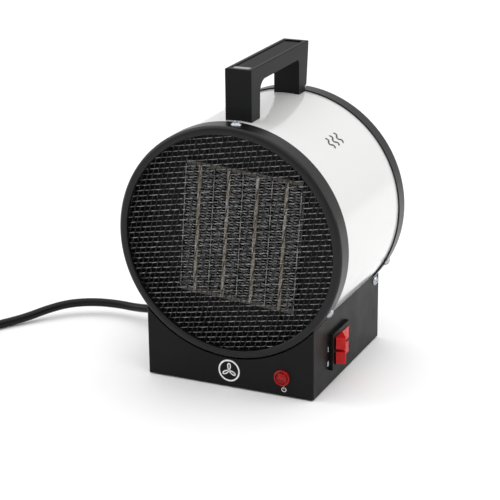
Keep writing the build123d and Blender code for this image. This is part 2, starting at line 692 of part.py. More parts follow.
with BuildPart() as inner_screws:
    for y in SADDLES:
        for angle in SADDLE_SCREW_ANGLES:
            plane = radial_plane(angle, saddle_flange_y(y), DRUM_R - DRUM_SHEET - 0.05)
            pan_head(Plane(origin=plane.origin, x_dir=plane.x_dir, z_dir=-plane.z_dir), 2.8, 1.6, 1.45, 6)
    baffle_face = element_plane(BAFFLE_Y - 0.02)
    for x in BRACKET_SCREW_X:
        for side in (-1, 1):
            spot = baffle_face.from_local_coords((x, side * bracket_screw_z, 0))
            pan_head(Plane(origin=spot, x_dir=baffle_face.x_dir, z_dir=baffle_face.z_dir), 2.8, 1.6, 1.45, 6)
    shroud_face = face_on(SHROUD_Y - 0.02)
    for z in (-FEET_R - 3.5, FEET_R + 3.5):
        spot = shroud_face.from_local_coords((0, z, 0))
        pan_head(Plane(origin=spot, x_dir=shroud_face.x_dir, z_dir=shroud_face.z_dir), 2.8, 1.6, 1.45, 6)
inner_screws.part.label = "inner_screws"
export_step(inner_screws.part, "parts/inner_screws.step")

with BuildPart() as base_screws:
    for x, y in BASE_SCREWS:
        with BuildSketch(Plane.XY.offset(SKIRT_Z - 0.7)):
            with Locations((x, y)):
                Circle(3)
        extrude(amount=0.7)
        with BuildSketch(Plane.XY.offset(SKIRT_Z)):
            with Locations((x, y)):
                Circle(1.45)
        extrude(amount=6)
base_screws.part.label = "base_screws"
export_step(base_screws.part, "parts/base_screws.step")

# ---------------------------------------------------------------- handle
HANDLE_LEG_FRONT = (-30.9, -29.7)     # back of the front leg, bottom and top
HANDLE_LEG_REAR = 43.5
RELIEF_Z = 207.0                      # underside of the rear leg where it stands over the ring
GRIP_LENGTH = (-36.0, 56.0)
GRIP_W = 14.0
RECESS = 3.0
bar_under = HANDLE_TOP - HANDLE_BAR
leg_root = AXIS_Z + DRUM_R - 4

with BuildPart() as handle_body:
    with BuildSketch(Plane(origin=(-HANDLE_W / 2, 0, 0), x_dir=(0, 1, 0), z_dir=(1, 0, 0))):
        with BuildLine():
            Polyline((HANDLE_FRONT, leg_root), (HANDLE_FRONT, HANDLE_TOP), (HANDLE_REAR, HANDLE_TOP),
                     (58.3, RELIEF_Z), (REAR_RING[1] - 0.2, RELIEF_Z), (REAR_RING[1] - 0.2, leg_root),
                     (HANDLE_LEG_REAR, leg_root), (HANDLE_LEG_REAR, bar_under),
                     (HANDLE_LEG_FRONT[1], bar_under), (HANDLE_LEG_FRONT[0], leg_root),
                     (HANDLE_FRONT, leg_root))
        make_face()
    extrude(amount=HANDLE_W)
    under = handle_body.edges().filter_by(Axis.X).filter_by_position(Axis.Z, bar_under - 0.1,
                                                                     bar_under + 0.1)
    fillet(under.sort_by(Axis.Y)[0], 9)
    fillet(under.sort_by(Axis.Y)[-1], 4)
    with BuildSketch(face_on(-100)):
        Circle(DRUM_R + 0.05)
    extrude(amount=-220, mode=Mode.SUBTRACT)
    top = handle_body.faces().sort_by(Axis.Z)[-1]
    fillet(top.edges(), 0.8)
    with BuildSketch(Plane.XY.offset(HANDLE_TOP)):
        with Locations((0, (-42.5 + 58.5) / 2)):
            RectangleRounded(GRIP_W + 0.4, 101, 2)
    extrude(amount=-RECESS, mode=Mode.SUBTRACT)
    for y in HANDLE_SCREWS:
        with BuildSketch(Plane(origin=(0, y, leg_root))):
            Circle(2.0)
        extrude(amount=18, mode=Mode.SUBTRACT)
handle_body.part.label = "handle_body"
export_step(handle_body.part, "parts/handle_body.step")

with BuildPart() as handle_grip:
    grip_len = GRIP_LENGTH[1] - GRIP_LENGTH[0]
    grip_mid = (GRIP_LENGTH[0] + GRIP_LENGTH[1]) / 2
    with BuildSketch(Plane.XY.offset(HANDLE_TOP - RECESS)):
        with Locations((0, grip_mid)):
            RectangleRounded(GRIP_W, grip_len, 1.5)
    extrude(amount=2.0)
    with BuildSketch(Plane.XY.offset(HANDLE_TOP - RECESS + 2.0)):
        with Locations(*[(x, grip_mid) for x in (-5.2, -2.6, 0, 2.6, 5.2)]):
            Rectangle(1.3, grip_len - 4)
    extrude(amount=0.7)
handle_grip.part.label = "handle_grip"
export_step(handle_grip.part, "parts/handle_grip.step")

with BuildPart() as handle_screws:
    for y in HANDLE_SCREWS:
        seat = AXIS_Z + DRUM_R - DRUM_SHEET - 0.15
        with BuildSketch(Plane.XY.offset(seat)):
            with Locations((0, y)):
                Circle(3.8)
        extrude(amount=-2.4, taper=15)
        with BuildSketch(Plane.XY.offset(seat)):
            with Locations((0, y)):
                Circle(1.95)
        extrude(amount=14)
handle_screws.part.label = "handle_screws"
export_step(handle_screws.part, "parts/handle_screws.step")

# ---------------------------------------------------------------- switch
BEZEL = (35.0, 29.4)            # Y by Z
BEZEL_PROUD = 3.0
BODY_DEPTH = 14.5               # behind the panel
ROCKER_L, ROCKER_H = 24.6, 9.4
ROCKER_PITCH = 11.8
ROCKER_ANGLE = 17.0             # to each side of the middle position
PIVOT_X = 68.2
TIP = 7.73                       # rocker's end above its pivot
PIN_R = 1.4
ROCKER_SWEEP = 28.8             # window length that clears both positions
switch_plane = Plane(origin=(half_w + BEZEL_PROUD, SWITCH_Y, SWITCH_Z), x_dir=(0, 1, 0), z_dir=(1, 0, 0))
WINDOW_H = ROCKER_H + 0.6

with BuildPart() as switch_housing:
    with BuildSketch(switch_plane):
        RectangleRounded(BEZEL[0], BEZEL[1], 1.2)
    extrude(amount=-(BEZEL_PROUD - 0.05))
    with BuildSketch(switch_plane):
        RectangleRounded(SWITCH_CUT[0] - 0.3, SWITCH_CUT[1] - 0.3, 0.8)
    extrude(amount=-(BEZEL_PROUD + BODY_DEPTH))
    with BuildSketch(switch_plane):
        with Locations(*[(0, s * ROCKER_PITCH / 2) for s in (-1, 1)]):
            Rectangle(ROCKER_SWEEP, WINDOW_H)
    extrude(amount=-BEZEL_PROUD, mode=Mode.SUBTRACT)
    with BuildSketch(switch_plane.offset(-BEZEL_PROUD)):
        with Locations(*[(0, s * ROCKER_PITCH / 2) for s in (-1, 1)]):
            Rectangle(SWITCH_CUT[0] - 3.0, WINDOW_H)
    extrude(amount=-(BODY_DEPTH - 3), mode=Mode.SUBTRACT)
    with BuildSketch(Plane(origin=(PIVOT_X, SWITCH_Y, SWITCH_Z))):
        Circle(PIN_R + 0.06)
    extrude(amount=ROCKER_PITCH + 1, both=True, mode=Mode.SUBTRACT)
    with BuildSketch(switch_plane.offset(-(BEZEL_PROUD + BODY_DEPTH))):
        with Locations(*[(y, s * ROCKER_PITCH / 2) for y in (-8, 0, 8) for s in (-1, 1)]):
            Rectangle(0.8, 4.8)
    extrude(amount=-4)
switch_housing.part.label = "switch_housing"
export_step(switch_housing.part, "parts/switch_housing.step")

half_l = ROCKER_L / 2
notch = TIP - half_l * tan(radians(ROCKER_ANGLE))
for name, side in (("rocker_upper", 1), ("rocker_lower", -1)):
    z_mid = SWITCH_Z + side * ROCKER_PITCH / 2
    pivot = Plane(origin=(PIVOT_X, SWITCH_Y, z_mid)).rotated((0, 0, ROCKER_ANGLE))
    with BuildPart() as rocker:
        with BuildSketch(pivot.offset(-ROCKER_H / 2)):
            with BuildLine():
                Polyline((-2.2, -4.0), (0, -half_l), (TIP, -half_l), (notch, 0), (TIP, half_l), (0, half_l),
                         (-2.2, 4.0), (-2.2, -4.0))
            make_face()
        extrude(amount=ROCKER_H)
        tips = rocker.edges().filter_by(Axis.Z).sort_by(Axis.X)[-3:]
        fillet(tips.sort_by(Axis.Y)[0], 0.8)
        with BuildSketch(Plane(origin=(PIVOT_X, SWITCH_Y, z_mid))):
            Circle(PIN_R)
        extrude(amount=ROCKER_H / 2 + 0.65, both=True)
    rocker.part.label = name
    export_step(rocker.part, f"parts/{name}.step")

# ---------------------------------------------------------------- indicator lamp
with BuildPart() as indicator_body:
    with BuildSketch(Plane(origin=(LAMP_X, BASE_FRONT - 1.9, LAMP_Z), x_dir=(1, 0, 0), z_dir=(0, -1, 0))):
        Circle(6.5)
    extrude(amount=-1.88)
    with BuildSketch(Plane(origin=(LAMP_X, BASE_FRONT - 1.9, LAMP_Z), x_dir=(1, 0, 0), z_dir=(0, -1, 0))):
        Circle(LAMP_R)
    extrude(amount=-16)
    with BuildSketch(Plane(origin=(LAMP_X, BASE_FRONT - 1.9, LAMP_Z), x_dir=(1, 0, 0), z_dir=(0, -1, 0))):
        Circle(4.5)
    extrude(amount=-8, mode=Mode.SUBTRACT)
indicator_body.part.label = "indicator_body"
export_step(indicator_body.part, "parts/indicator_body.step")

with BuildPart() as indicator_lens:
    with BuildSketch(Plane(origin=(LAMP_X, BASE_FRONT - 1.4, LAMP_Z), x_dir=(1, 0, 0), z_dir=(0, -1, 0))):
        Circle(4.45)
    extrude(amount=-6)
    fillet(indicator_lens.edges().filter_by(GeomType.CIRCLE).sort_by(Axis.Y)[0], 0.8)
indicator_lens.part.label = "indicator_lens"
export_step(indicator_lens.part, "parts/indicator_lens.step")

# ---------------------------------------------------------------- wiring inside the base
TERMINAL_BLOCK_X = -26.0
BLOCK = (16.0, 32.0, 13.0)
POLES = (10.0, 20.0, 30.0)
POLE_Z = 9.6
WIRE_R = 1.1
CLAMP_X = -59.0

with BuildPart() as terminal_block:
    with BuildSketch(Plane.XY.offset(floor_z + 0.02)):
        with Locations((TERMINAL_BLOCK_X, CORD_EXIT_Y)):
            RectangleRounded(BLOCK[0], BLOCK[1], 1)
    extrude(amount=BLOCK[2])
    with BuildSketch(Plane(origin=(TERMINAL_BLOCK_X - 9, 0, 0), x_dir=(0, 1, 0), z_dir=(1, 0, 0))):
        with Locations(*[(y, POLE_Z) for y in POLES]):
            Circle(1.6)
    extrude(amount=18, mode=Mode.SUBTRACT)
    with BuildSketch(Plane.XY.offset(floor_z + BLOCK[2] + 1)):
        with Locations(*[(TERMINAL_BLOCK_X + dx, y) for y in POLES for dx in (-4, 4)]):
            Circle(1.8)
    extrude(amount=-3.5, mode=Mode.SUBTRACT)
terminal_block.part.label = "terminal_block"
export_step(terminal_block.part, "parts/terminal_block.step")

with BuildPart() as cord_clamp:
    with BuildSketch(Plane(origin=(CLAMP_X - 3, CORD_EXIT_Y, 0), x_dir=(0, 1, 0), z_dir=(1, 0, 0))):
        with Locations((0, (floor_z + 22) / 2)):
            RectangleRounded(24, 22 - floor_z, 1.5)
        with Locations((0, CORD_EXIT_Z)):
            Circle(CORD_R + 0.05, mode=Mode.SUBTRACT)
    extrude(amount=6)
    with BuildSketch(Plane.XY.offset(22)):
        with Locations((CLAMP_X, CORD_EXIT_Y - 8), (CLAMP_X, CORD_EXIT_Y + 8)):
            Circle(2.6)
    extrude(amount=1.6)
cord_clamp.part.label = "cord_clamp"
export_step(cord_clamp.part, "parts/cord_clamp.step")


def wire(points, radius=4):
    """A round insulated wire along a path with rounded corners, added to the part that is open."""
    with BuildLine() as path:
        FilletPolyline(*points, radius=radius)
    line = path.wires()[0]
    with BuildSketch(Plane(origin=line @ 0, z_dir=line % 0)) as core:
        Circle(WIRE_R)
    sweep(core.sketch, path=line)


CORE_OFFSETS = (-1.2, 0.0, 1.2)      # cores side by side in the sheath
with BuildPart() as cord_end:
    with BuildSketch(Plane(origin=(RELIEF_END, CORD_EXIT_Y, CORD_EXIT_Z), x_dir=(0, 1, 0), z_dir=(1, 0, 0))):
        Circle(CORD_R)
    extrude(amount=CLAMP_X + 5 - RELIEF_END)
cord_end.part.label = "cord_end"
export_step(cord_end.part, "parts/cord_end.step")

core_start_x = CLAMP_X + 5
block_left = TERMINAL_BLOCK_X - BLOCK[0] / 2
block_right = TERMINAL_BLOCK_X + BLOCK[0] / 2
ptc_plane = element_plane(PTC_FRONT_Y + 15.4)
switch_back_x = half_w - BODY_DEPTH - 4.2
with BuildPart() as base_wiring:
    for pole, offset, lift in zip(POLES, CORE_OFFSETS, (-1.2, 1.4, -1.2)):
        y, z = CORD_EXIT_Y + offset, CORD_EXIT_Z + lift
        wire([(core_start_x, y, z), (core_start_x + 5, y, z), (block_left - 4, pole, POLE_Z),
              (block_left + 3, pole, POLE_Z)], 3)
    upper_z, lower_z = SWITCH_Z + ROCKER_PITCH / 2, SWITCH_Z - ROCKER_PITCH / 2
    wire([(block_right - 3, POLES[0], POLE_Z), (12, POLES[0], POLE_Z), (34, SWITCH_Y, lower_z - 4),
          (44, SWITCH_Y, lower_z), (switch_back_x, SWITCH_Y, lower_z)])
    for tag_z, up_x, pole_x in ((upper_z, 3.5, TERMINAL_X[2]), (lower_z, -1.5, TERMINAL_X[1])):
        terminal = ptc_plane.from_local_coords((pole_x, terminal_top - 12.1, 0))
        wire([(switch_back_x, SWITCH_Y - 8, tag_z), (44, SWITCH_Y - 8, tag_z), (34, SWITCH_Y - 8, 12 + up_x),
              (up_x, SWITCH_Y - 2, 12 + up_x), (up_x, SWITCH_Y - 2, 32), (terminal.X, terminal.Y, 43),
              tuple(terminal)], 3)
    for dx in (-2, 2):
        wire([(LAMP_X + dx, BASE_FRONT + 14.1, LAMP_Z), (LAMP_X + dx, BASE_FRONT + 20, LAMP_Z),
              (40 + dx / 1.2, SADDLES[0] - 3, 11), (40 + dx / 1.2, SADDLES[0] + 4, 11),
              (30 + 3 * dx, SADDLES[0] + 9, 7)], 2.5)
base_wiring.part.label = "base_wiring"
export_step(base_wiring.part, "parts/base_wiring.step")

# ---------------------------------------------------------------- strain relief and mains lead
with BuildPart() as cord_gland:
    with BuildSketch(Plane(origin=(0, CORD_EXIT_Y, CORD_EXIT_Z), x_dir=(1, 0, 0), z_dir=(0, -1, 0))):
        with BuildLine():
            Polyline((RELIEF_END, CORD_R + 0.05), (RELIEF_END, CORD_R + 1.1), (-half_w - 3, 7.0),
                     (-half_w - 3, 9.0), (-half_w - 0.02, 9.0), (-half_w - 0.02, 6.4), (-half_w + 1.2, 6.4),
                     (-half_w + 1.2, 7.6), (-half_w + 3, 6.8), (-half_w + 3, CORD_R + 0.05),
                     (RELIEF_END, CORD_R + 0.05))
        make_face()
    revolve(axis=Axis((0, CORD_EXIT_Y, CORD_EXIT_Z), (1, 0, 0)), revolution_arc=360)
cord_gland.part.label = "cord_gland"
export_step(cord_gland.part, "parts/cord_gland.step")

CORD_ROUTE = [
    (-96, 20, 16), (-113, 20.5, 14), (-130, 26.5, 10.5), (-148, 29, 10), (-168, 26, 10), (-186, 15, 10),
    (-199, 0, 8), (-209, -14, 5), (-220, -29, 3.6), (-233, -44, 3.5), (-245, -60, 3.5), (-252, -76, 3.6),
]
COIL_CENTRE = (-288.0, -62.0)
COIL_BAND = (26.0, 47.6)          # inner and outer radius of the wound ring
COIL_HEIGHT = 13.6


def tangent_radii(points):
    """The largest radius that each corner's two runs allow."""
    radii = []
    for before, corner, after in zip(points, points[1:], points[2:]):
        a, b = Vector(*corner) - Vector(*before), Vector(*after) - Vector(*corner)
        radii.append(0.45 * min(a.length, b.length) / tan(radians(a.get_angle(b)) / 2))
    return radii


def free_cord(points):
    """A round cord of straight runs and tangent arcs, added to the part that is open."""
    radii = tangent_radii(points)
    print("cord radii", [round(r, 1) for r in radii])
    with BuildLine() as path:
        FilletPolyline(*points, radius=radii)
    line = path.wires()[0]
    with BuildSketch(Plane(origin=line @ 0, z_dir=line % 0)) as sheath:
        Circle(CORD_R)
    sweep(sheath.sketch, path=line)
    return line.length


with BuildPart() as power_cord:
    cord_length = free_cord(CORD_ROUTE)
print("power_cord", round(cord_length, 1), "volume ratio",
      round(power_cord.part.volume / (pi * CORD_R ** 2 * cord_length), 4))
power_cord.part.label = "power_cord"
export_step(power_cord.part, "parts/power_cord.step")

with BuildPart() as power_cord_coil:
    with BuildSketch(Plane.XY.offset(COIL_LIFT)):
        with Locations(COIL_CENTRE):
            Circle(COIL_BAND[1])
            Circle(COIL_BAND[0], mode=Mode.SUBTRACT)
    extrude(amount=COIL_HEIGHT)
    fillet(power_cord_coil.edges().filter_by(GeomType.CIRCLE), 2.5)
power_cord_coil.part.label = "power_cord_coil"
export_step(power_cord_coil.part, "parts/power_cord_coil.step")

PLUG_AT = (-335.0, 8.0, 18.5)     # where the lead enters the plug
TAIL_ROUTE = [
    (-333, -56, 7.5), (-334, -38, 5), (-335, -20, 8), (-335, -4, 15), PLUG_AT,
]
with BuildPart() as power_cord_tail:
    tail_length = free_cord(TAIL_ROUTE)
print("power_cord_tail", round(tail_length, 1))
power_cord_tail.part.label = "power_cord_tail"
export_step(power_cord_tail.part, "parts/power_cord_tail.step")

# ---------------------------------------------------------------- mains plug and the coil's tie
PLUG_R = 18.4
PLUG_BODY = 34.0
PLUG_NECK = 22.0
PIN_SPAN = 19.0
plug_plane = Plane(origin=PLUG_AT, x_dir=(1, 0, 0), z_dir=(0, 1, 0))

with BuildPart() as plug_body:
    with BuildSketch(plug_plane):
        Circle(CORD_R + 1.5)
    with BuildSketch(plug_plane.offset(PLUG_NECK)):
        Circle(CORD_R + 5)
    loft()
    with BuildSketch(plug_plane.offset(PLUG_NECK)):
        Circle(CORD_R + 5)
    with BuildSketch(plug_plane.offset(PLUG_NECK + 8)):
        Circle(PLUG_R)
    loft()
    with BuildSketch(plug_plane.offset(PLUG_NECK + 8)):
        Circle(PLUG_R)
    extrude(amount=PLUG_BODY - 8)
    with BuildSketch(plug_plane.offset(PLUG_NECK + 10)):
        with Locations((-PLUG_R - 1.5, 0), (PLUG_R + 1.5, 0)):
            Rectangle(8, 6)
    extrude(amount=PLUG_BODY, mode=Mode.SUBTRACT)
plug_body.part.label = "plug_body"
export_step(plug_body.part, "parts/plug_body.step")

with BuildPart() as plug_pins:
    with BuildSketch(plug_plane.offset(PLUG_NECK + PLUG_BODY)):
        with Locations((0, -9.5), (0, 9.5)):
            Circle(2.4)
    extrude(amount=PIN_SPAN)
    fillet(plug_pins.edges().filter_by(GeomType.CIRCLE).group_by(Axis.Y)[-1], 1.2)
plug_pins.part.label = "plug_pins"
export_step(plug_pins.part, "parts/plug_pins.step")

TIE_W = 7.0
TIE_ANGLE = 60.0                  # place of the tie round the coil
tie_out = (cos(radians(TIE_ANGLE)), sin(radians(TIE_ANGLE)), 0)
tie_along = (-sin(radians(TIE_ANGLE)), cos(radians(TIE_ANGLE)), 0)
tie_mid = sum(COIL_BAND) / 2
tie_w = COIL_BAND[1] - COIL_BAND[0] + 0.6
tie_h = COIL_HEIGHT + 0.02
tie_face = Plane(origin=(COIL_CENTRE[0] + tie_mid * tie_out[0] - TIE_W / 2 * tie_along[0],
                         COIL_CENTRE[1] + tie_mid * tie_out[1] - TIE_W / 2 * tie_along[1],
                         COIL_LIFT + COIL_HEIGHT / 2), x_dir=tie_out, z_dir=tie_along)

with BuildPart() as coil_tie:
    with BuildSketch(tie_face):
        RectangleRounded(tie_w + 2 * (COIL_LIFT - 0.01), tie_h + 2 * (COIL_LIFT - 0.01), 2.8)
        RectangleRounded(tie_w, tie_h, 2.2, mode=Mode.SUBTRACT)
    extrude(amount=TIE_W)
coil_tie.part.label = "coil_tie"
export_step(coil_tie.part, "parts/coil_tie.step")
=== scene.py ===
import json
from math import cos, pi, radians, sin, sqrt

import bpy
import numpy as np
from mathutils import Matrix, Vector


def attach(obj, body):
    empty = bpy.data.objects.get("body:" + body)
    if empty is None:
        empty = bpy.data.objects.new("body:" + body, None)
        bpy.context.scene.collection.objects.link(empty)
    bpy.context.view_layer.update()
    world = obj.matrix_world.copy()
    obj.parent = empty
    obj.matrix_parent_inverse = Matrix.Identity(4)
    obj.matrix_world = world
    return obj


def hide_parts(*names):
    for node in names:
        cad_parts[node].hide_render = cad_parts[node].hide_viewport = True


# Looks of the ceramic fan heater. Metres, in the CAD frame: +Z up, the outlet mesh faces -Y.
MM = 0.001
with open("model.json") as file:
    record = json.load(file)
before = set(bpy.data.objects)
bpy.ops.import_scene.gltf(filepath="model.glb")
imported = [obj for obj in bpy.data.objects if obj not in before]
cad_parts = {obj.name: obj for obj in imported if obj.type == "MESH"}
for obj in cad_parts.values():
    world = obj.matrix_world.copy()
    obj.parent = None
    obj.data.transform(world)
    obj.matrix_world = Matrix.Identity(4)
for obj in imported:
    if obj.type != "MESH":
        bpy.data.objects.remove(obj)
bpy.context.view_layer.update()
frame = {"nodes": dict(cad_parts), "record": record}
nodes = frame["nodes"]

# ---------------------------------------------------------------- places shared with the CAD
AXIS = Vector((0, 0, 114)) * MM
RING_R = 90.0 * MM
DRUM_R = 88.7 * MM
MESH_FRONT_Y, MESH_REAR_Y = -65.2 * MM, 66.2 * MM
MESH_R = 87.9 * MM
MESH_PITCH = 4.1 * MM
MESH_WIRE_R = 0.37 * MM
MESH_TURN, MESH_LEAN = radians(9.9), radians(14.8)
BASE_FRONT = -68.0 * MM
BASE_SIDE = 68.5 * MM
LAMP = Vector((43.6, -68.0, 15.3)) * MM
FACE_GAP = 0.02 * MM              # what lies on a CAD face stands this far off it
CORD_D = 7.0 * MM
CORD_EXIT = Vector((-96, 20, 16)) * MM
COIL_CENTRE = Vector((-288, -62, 0)) * MM
PLUG_AT = Vector((-335, 8, 18.5)) * MM


# ---------------------------------------------------------------- camera
CAMERA_AT = (0.5025, -1.1321, 0.5289)
CAMERA_TURNS = (24.466, 19.595, -0.572)     # degrees: azimuth from the front, elevation, roll
CAMERA_LENS, CAMERA_SENSOR = 122.28, 36     # mm


def make_camera():
    azimuth, elevation, roll = (radians(turn) for turn in CAMERA_TURNS)
    back = Vector((sin(azimuth) * cos(elevation), -cos(azimuth) * cos(elevation), sin(elevation)))
    level = Vector((cos(azimuth), sin(azimuth), 0))
    above = back.cross(level)
    right = cos(roll) * level + sin(roll) * above
    up = cos(roll) * above - sin(roll) * level
    data = bpy.data.cameras.new("camera")
    data.lens = CAMERA_LENS
    data.sensor_width = CAMERA_SENSOR
    data.clip_end = 20
    camera = bpy.data.objects.new("camera", data)
    turn = Matrix((right, up, back)).transposed().to_4x4()
    camera.matrix_world = Matrix.Translation(CAMERA_AT) @ turn
    bpy.context.scene.collection.objects.link(camera)
    bpy.context.scene.camera = camera


make_camera()


# ---------------------------------------------------------------- materials
class Shader:
    """A material being put together: object coordinates in millimetres feed its textures."""

    def __init__(self, name, color, rough, metallic=0.0, **fixed):
        self.material = bpy.data.materials.new(name)
        self.material.use_nodes = True
        self.tree = self.material.node_tree
        self.bsdf = self.tree.nodes["Principled BSDF"]
        self.set("Base Color", (*color, 1))
        self.set("Roughness", rough)
        self.set("Metallic", metallic)
        for socket, value in fixed.items():
            self.set(socket.replace("_", " "), value)
        place = self.tree.nodes.new("ShaderNodeTexCoord")
        scale = self.tree.nodes.new("ShaderNodeMapping")
        scale.inputs["Scale"].default_value = (1 / MM, 1 / MM, 1 / MM)
        self.link(place.outputs["Object"], scale.inputs["Vector"])
        self.where = scale.outputs["Vector"]

    def set(self, socket, value):
        self.bsdf.inputs[socket].default_value = value

    def link(self, a, b):
        self.tree.links.new(a, b)

    def noise(self, size, detail=3.0, stretch=(1, 1, 1)):
        """Noise whose blobs are about size mm across."""
        stretched = self.tree.nodes.new("ShaderNodeMapping")
        stretched.inputs["Scale"].default_value = [1 / (size * s) for s in stretch]
        self.link(self.where, stretched.inputs["Vector"])
        node = self.tree.nodes.new("ShaderNodeTexNoise")
        node.inputs["Scale"].default_value = 1.0
        node.inputs["Detail"].default_value = detail
        self.link(stretched.outputs["Vector"], node.inputs["Vector"])
        return node.outputs["Fac"]

    def bands(self, period, axis, distortion=0.0):
        """Waves along one axis, period mm apart. A wave texture at scale 1 repeats every 2 pi / 20."""
        node = self.tree.nodes.new("ShaderNodeTexWave")
        node.wave_type = "BANDS"
        node.bands_direction = axis
        node.inputs["Scale"].default_value = 2 * pi / (20 * period)
        node.inputs["Distortion"].default_value = distortion
        node.inputs["Detail"].default_value = 1.0
        self.link(self.where, node.inputs["Vector"])
        return node.outputs["Fac"]

    def ramp(self, source, stops, to="Base Color"):
        """Drives a socket through a colour ramp; a stop is (position, colour or grey level)."""
        node = self.tree.nodes.new("ShaderNodeValToRGB")
        ramp = node.color_ramp
        while len(ramp.elements) < len(stops):
            ramp.elements.new(0.5)
        for element, (position, value) in zip(ramp.elements, stops):
            element.position = position
            element.color = (*value, 1) if isinstance(value, tuple) else (value, value, value, 1)
        self.link(source, node.inputs["Fac"])
        self.link(node.outputs["Color"], self.bsdf.inputs[to])

    def bump(self, source, height_mm):
        """Raises the surface by up to height_mm where the source is bright."""
        node = self.tree.nodes.new("ShaderNodeBump")
        node.inputs["Distance"].default_value = height_mm * MM
        self.link(source, node.inputs["Height"])
        self.link(node.outputs["Normal"], self.bsdf.inputs["Normal"])


def shade(color, factor):
    return tuple(c * factor for c in color)


def painted(name, color, rough, grain_mm, grain_height, **fixed):
    """Sprayed enamel: orange-peel bump, slight tone and gloss changes."""
    s = Shader(name, color, rough, **fixed)
    s.ramp(s.noise(38), [(0.3, shade(color, 0.93)), (0.7, shade(color, 1.06))])
    s.ramp(s.noise(16), [(0.3, rough * 0.9), (0.7, rough * 1.12)], to="Roughness")
    s.bump(s.noise(grain_mm), grain_height)
    return s.material


def metal(name, color, rough, stretch=(1, 1, 1)):
    """Bare sheet or turned metal with fine scratches and cloudy tone."""
    s = Shader(name, color, rough, metallic=1.0)
    s.ramp(s.noise(9), [(0.3, shade(color, 0.82)), (0.7, shade(color, 1.1))])
    s.ramp(s.noise(2.5, stretch=stretch), [(0.3, rough * 0.8), (0.75, rough * 1.3)], to="Roughness")
    s.bump(s.noise(0.8, stretch=stretch), 0.012)
    return s.material


def moulded(name, color, rough, grain_mm, grain_height, **fixed):
    """Moulded plastic or rubber with a fine spark-eroded grain."""
    s = Shader(name, color, rough, **fixed)
    s.ramp(s.noise(22), [(0.3, shade(color, 0.9)), (0.7, shade(color, 1.1))])
    s.bump(s.noise(grain_mm, detail=2), grain_height)
    return s.material


# The second colour is painted shade for the drum's inner face.
DRUM_WHITE, DRUM_PAINTED_SHADE = (0.69, 0.69, 0.685), (0.012, 0.012, 0.012)
DRUM_TURNS_WHITE = (88.15, 88.35)     # mm from the axis: dark inside the first, white outside the second


def drum_enamel():
    """White gloss enamel outside the drum, and painted shade: the sheet's inner face is coloured dark."""
    s = Shader("white_enamel", DRUM_WHITE, 0.16, Coat_Weight=0.5, Coat_Roughness=0.06)
    s.ramp(s.noise(16), [(0.3, 0.14), (0.7, 0.18)], to="Roughness")
    s.bump(s.noise(5.0), 0.010)
    # Painted shade: the sheet's inner face, nearer the axis than the white turn, is coloured dark for the
    # shade inside the drum.
    offset = s.tree.nodes.new("ShaderNodeVectorMath")
    offset.operation = "SUBTRACT"
    offset.inputs[1].default_value = AXIS / MM
    s.link(s.where, offset.inputs[0])
    flat = s.tree.nodes.new("ShaderNodeVectorMath")
    flat.operation = "MULTIPLY"
    flat.inputs[1].default_value = (1, 0, 1)
    s.link(offset.outputs["Vector"], flat.inputs[0])
    radius = s.tree.nodes.new("ShaderNodeVectorMath")
    radius.operation = "LENGTH"
    s.link(flat.outputs["Vector"], radius.inputs[0])
    span = s.tree.nodes.new("ShaderNodeMapRange")
    span.inputs["From Min"].default_value, span.inputs["From Max"].default_value = DRUM_TURNS_WHITE
    s.link(radius.outputs["Value"], span.inputs["Value"])
    s.ramp(span.outputs["Result"], [(0.2, DRUM_PAINTED_SHADE), (0.8, DRUM_WHITE)])
    return s.material


